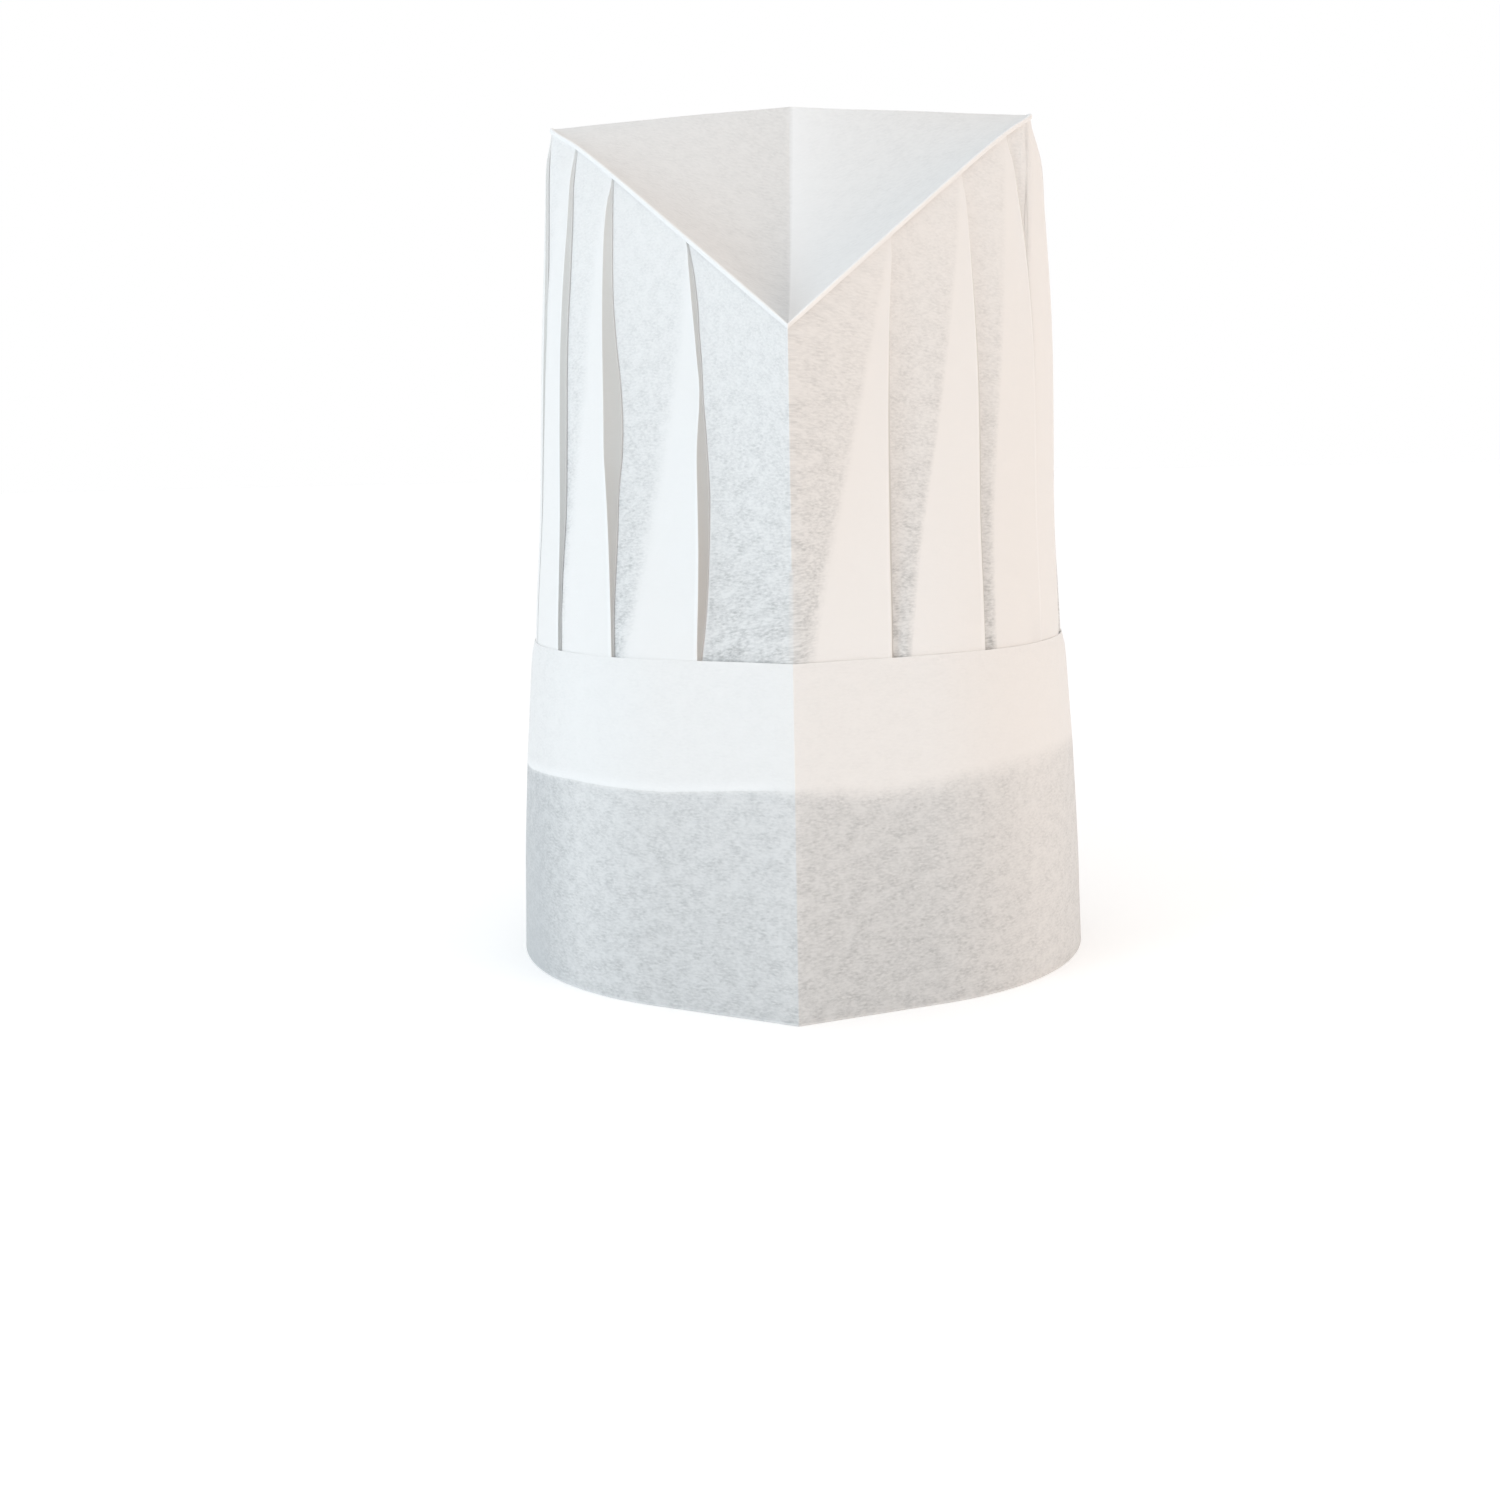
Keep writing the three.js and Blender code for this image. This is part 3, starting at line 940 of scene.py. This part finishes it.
def startMaterial(name):
    material = bpy.data.materials.new(name)
    material.use_nodes = True
    tree = material.node_tree
    shader = tree.nodes["Principled BSDF"]
    shader.inputs["Roughness"].default_value = clothFinish["roughness"]
    shader.inputs["Sheen Weight"].default_value = clothFinish["sheen"]
    shader.inputs["Specular IOR Level"].default_value = clothFinish["specular"]
    shader.inputs["Subsurface Weight"].default_value = clothFinish["subsurface"]
    shader.inputs["Subsurface Radius"].default_value = (1, 1, 1)
    shader.inputs["Subsurface Scale"].default_value = clothFinish["subsurfaceScale"]
    uv = addNode(tree, "ShaderNodeUVMap", (-1500, 0), uv_map="cloth")
    fibres = addNode(tree, "ShaderNodeGroup", (-1250, 0), node_tree=fibreGroup)
    tree.links.new(uv.outputs["UV"], fibres.inputs["Cloth"])
    bump = addNode(tree, "ShaderNodeBump", (-250, -400))
    bump.inputs["Strength"].default_value = clothFinish["bump"]
    bump.inputs["Distance"].default_value = clothFinish["bumpDepth"]
    tree.links.new(fibres.outputs["Relief"], bump.inputs["Height"])
    tree.links.new(bump.outputs["Normal"], shader.inputs["Normal"])
    return material, tree, shader, uv, fibres


# colour from how thin the cloth looks at a place, with painted shade of the dark hollow behind single cloth:
# holes between the fibres show in single cloth only
def clothColour(tree, fibres, thinnessAndShade, holeShare):
    s = clothFinish
    streaky = mathValue(tree, (-1000, 200), "MULTIPLY", fibres.outputs["Streaks"], fibres.outputs["Clouds"])
    shaped = rangeValue(tree, (-830, 200), streaky, s["holeStart"], s["holeFull"], 0.0, holeShare)
    masked = mathValue(tree, (-650, 200), "MULTIPLY", shaped, thinnessAndShade)
    base = mixedColour(tree, (-450, 100), s["thick"], s["thin"], thinnessAndShade)
    return mixedColour(tree, (-250, 100), base, s["hole"], masked)


# height on the cloth, which is the second part of its own map
def clothHeight(tree, place, uv):
    split = addNode(tree, "ShaderNodeSeparateXYZ", place)
    tree.links.new(uv.outputs["UV"], split.inputs[0])
    return split.outputs["Y"]


crownFinish = {
    "lowEnd": 0.1,
    "highEnd": 0.22,
    "highPaintedShade": 0.25,        # painted shade of the hollow, against 1 at the band, where it shows most
    "footEnd": 0.135,
    "footPaintedShade": 0.2,         # more painted shade, added just above the band
    "holeShare": 0.8,
}


def crownMaterial():
    s = crownFinish
    material, tree, shader, uv, fibres = startMaterial("crownViscose")
    layers = attributeValue(tree, (-1500, -300), "layers")
    paintedHighlight = attributeValue(tree, (-1500, -500), "paintedHighlight")
    shade = attributeValue(tree, (-1500, -700), "slitShade")
    height = clothHeight(tree, (-1250, -250), uv)
    # painted shade of the dark hollow through the single cloth, strongest at the band and just above it
    low = rangeValue(tree, (-1050, -250), height, s["lowEnd"], s["highEnd"], 1.0, s["highPaintedShade"])
    foot = rangeValue(tree, (-1050, -50), height, s["lowEnd"], s["footEnd"], s["footPaintedShade"], 0.0)
    hollowShade = mathValue(tree, (-850, -150), "ADD", low, foot)
    white = mathValue(tree, (-1250, -420), "MAXIMUM", layers, paintedHighlight)
    single = mathValue(tree, (-1050, -420), "SUBTRACT", 1.0, white)
    thinnessAndShade = mathValue(tree, (-700, -350), "MULTIPLY", hollowShade, single)
    cloth = clothColour(tree, fibres, thinnessAndShade, s["holeShare"])
    # painted shade in the slits, darker towards the band
    slit = mixedColour(tree, (-450, 400), clothFinish["slitShadeHigh"], clothFinish["slitShadeLow"], low)
    cloth = mixedColour(tree, (-250, 400), cloth, slit, shade)
    # painted highlight along the rim and the free edges
    cloth = mixedColour(tree, (-100, 400), cloth, clothFinish["edge"], paintedHighlight)
    tree.links.new(cloth, shader.inputs["Base Color"])
    return material


topFinish = {
    "thinnessAndShade": 0.5,
    "leftPaintedShade": 0.35,        # painted shade on the left of the crease
    "rightPaintedLight": 0.75,          # painted light on its right
    "holeShare": 0.35,
}


def topMaterial():
    s = topFinish
    material, tree, shader, _, fibres = startMaterial("topViscose")
    paintedHighlight = attributeValue(tree, (-1500, -500), "paintedHighlight")
    valleyShadeAndLight = attributeValue(tree, (-1500, -700), "valleyShadeAndLight")
    plain = rangeValue(tree, (-1050, -420), paintedHighlight, 0.0, 1.0, s["thinnessAndShade"], 0.0)
    # painted shade left of the valley and painted light right of it
    left = rangeValue(tree, (-1250, -700), valleyShadeAndLight, -1.0, 0.0, s["leftPaintedShade"], 0.0)
    right = rangeValue(tree, (-1250, -950), valleyShadeAndLight, 0.0, 1.0, 0.0, s["rightPaintedLight"])
    thinnessAndShade = mathValue(tree, (-1000, -600), "ADD", plain, left)
    cloth = clothColour(tree, fibres, thinnessAndShade, s["holeShare"])
    cloth = mixedColour(tree, (-200, 600), cloth, clothFinish["edge"], right)
    # painted highlight along the lip
    cloth = mixedColour(tree, (-100, 400), cloth, clothFinish["edge"], paintedHighlight)
    tree.links.new(cloth, shader.inputs["Base Color"])
    return material


bandFinish = {
    "upperThinnessAndShade": 0.12,
    "justBelow": 0.72,
    "deepHeight": 0.06,          # the painted shade of the hollow is stronger lower down
    "edgeRange": (-1.0, 0.6),
    "crispRange": (0.0015, 0.004),
    "holeShare": 0.95,
    # colour of the painted shade of the hollow
    "shade": (0.48, 0.495, 0.505, 1),
    "shadeShare": 0.42,
    "stripe": 0.4,
    "stripeHeight": 0.004,
    "foldStart": 0.0009,         # the folded bottom edge shows as a thin light line
    "foldFull": 0.0004,
    "foldWhite": 0.4,
}


def bandMaterial():
    s = bandFinish
    material, tree, shader, uv, fibres = startMaterial("bandViscose")
    height = clothHeight(tree, (-1900, -250), uv)
    hiddenEdge = attributeValue(tree, (-1900, -450), "hiddenEdge")
    softness = attributeValue(tree, (-1900, -650), "edgeSoftness")
    inside = attributeValue(tree, (-1900, -850), "insideShade")
    # height above the hidden foot, in widths of its soft edge
    above = mathValue(tree, (-1700, -300), "SUBTRACT", height, hiddenEdge)
    shares = mathValue(tree, (-1500, -300), "DIVIDE", above, softness)
    below = rangeValue(tree, (-1300, -250), shares, *s["edgeRange"], 1.0, s["upperThinnessAndShade"], "SMOOTHSTEP")
    # painted shade of the hollow, stronger lower down and where insideShade is high
    deep = rangeValue(tree, (-1300, -500), height, 0.0, s["deepHeight"], 1.0, s["justBelow"])
    shaded = mathValue(tree, (-1100, -450), "MULTIPLY", deep, inside)
    thinnessAndShade = mathValue(tree, (-900, -350), "MULTIPLY", below, shaded)
    cloth = clothColour(tree, fibres, thinnessAndShade, s["holeShare"])
    share = mathValue(tree, (-700, -450), "MULTIPLY", thinnessAndShade, s["shadeShare"])
    shown = mixedColour(tree, (-250, 400), cloth, s["shade"], share)
    # the foot is turned up once, and its double edge shows as a light stripe
    stripe = rangeValue(tree, (-1300, 300), above, s["stripeHeight"], 0.0, 0.0, s["stripe"], "SMOOTHSTEP")
    crisp = rangeValue(tree, (-1300, 500), softness, *s["crispRange"], 1.0, 0.0)
    upper = mathValue(tree, (-1100, 600), "GREATER_THAN", above, 0.0)
    light = mathValue(tree, (-1000, 400), "MULTIPLY", stripe, crisp)
    light = mathValue(tree, (-850, 450), "MULTIPLY", light, upper)
    shown = mixedColour(tree, (-100, 400), shown, clothFinish["edge"], light)
    fold = rangeValue(tree, (-850, 700), height, s["foldStart"], s["foldFull"], 0.0, s["foldWhite"])
    shown = mixedColour(tree, (50, 500), shown, clothFinish["edge"], fold)
    tree.links.new(shown, shader.inputs["Base Color"])
    return material


for piece, make in ((crownCloth, crownMaterial), (topCloth, topMaterial), (bandCloth, bandMaterial)):
    piece.data.materials.clear()
    piece.data.materials.append(make())
print("materials made")

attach(crownCloth, "root")
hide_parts("crown")
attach(topCloth, "root")
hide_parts("top_panel")
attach(bandCloth, "root")
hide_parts("band")

studio = {
    "radius": 40.0,
    "floorColour": (0.9, 0.9, 0.9, 1),
    "floorRoughness": 0.9,
    "floorGlow": 0.088,
    "floorSeen": 0.21,
    "worldColour": (1.0, 1.0, 1.0, 1),
    "worldStrength": 0.88,
    "backStrength": 1.0,
    "keyPlace": (-0.78, -0.74, 0.3),
    "keySize": 0.42,
    "keyPower": 3.35,
    "keyColour": (0.68, 0.87, 1.0),
    "fillPlace": (0.85, -0.65, 0.28),
    "fillSize": 0.5,
    "fillPower": 2.25,
    "fillColour": (1.0, 0.63, 0.36),
    "aim": (0, 0, 0.14),
}


# the paper backdrop looks whiter to the camera than the light it gives
def seenStrength(tree, place, lit, seen, socket):
    rays = addNode(tree, "ShaderNodeLightPath", (place[0] - 200, place[1]))
    strength = rangeValue(tree, place, rays.outputs["Is Camera Ray"], 0.0, 1.0, lit, seen)
    tree.links.new(strength, socket)


def makeFloor():
    deselectAll()
    bpy.ops.mesh.primitive_circle_add(vertices=96, radius=studio["radius"], fill_type="NGON")
    floor = bpy.context.active_object
    floor.name = "studioFloor"
    floor.data.name = "studioFloor"
    material = bpy.data.materials.new("palePaper")
    material.use_nodes = True
    shader = material.node_tree.nodes["Principled BSDF"]
    shader.inputs["Base Color"].default_value = studio["floorColour"]
    shader.inputs["Roughness"].default_value = studio["floorRoughness"]
    shader.inputs["Emission Color"].default_value = (1, 1, 1, 1)
    glow = shader.inputs["Emission Strength"]
    seenStrength(material.node_tree, (-300, -300), studio["floorGlow"], studio["floorSeen"], glow)
    floor.data.materials.append(material)


def makeLight(name, place, size, power, colour):
    data = bpy.data.lights.new(name, "AREA")
    data.shape = "DISK"
    data.size = size
    data.energy = power
    data.color = colour
    light = bpy.data.objects.new(name, data)
    bpy.context.scene.collection.objects.link(light)
    light.location = place
    light.rotation_euler = (Vector(studio["aim"]) - Vector(place)).to_track_quat("-Z", "Y").to_euler()
    light.visible_camera = False


makeFloor()
makeLight("keyLight", studio["keyPlace"], studio["keySize"], studio["keyPower"], studio["keyColour"])
makeLight("fillLight", studio["fillPlace"], studio["fillSize"], studio["fillPower"], studio["fillColour"])
world = bpy.data.worlds.new("studioWorld")
world.use_nodes = True
worldBack = world.node_tree.nodes["Background"]
worldBack.inputs["Color"].default_value = studio["worldColour"]
worldGlow = worldBack.inputs["Strength"]
seenStrength(world.node_tree, (-300, 0), studio["worldStrength"], studio["backStrength"], worldGlow)
bpy.context.scene.world = world
bpy.context.scene.view_settings.view_transform = "Standard"
print("studio lit")
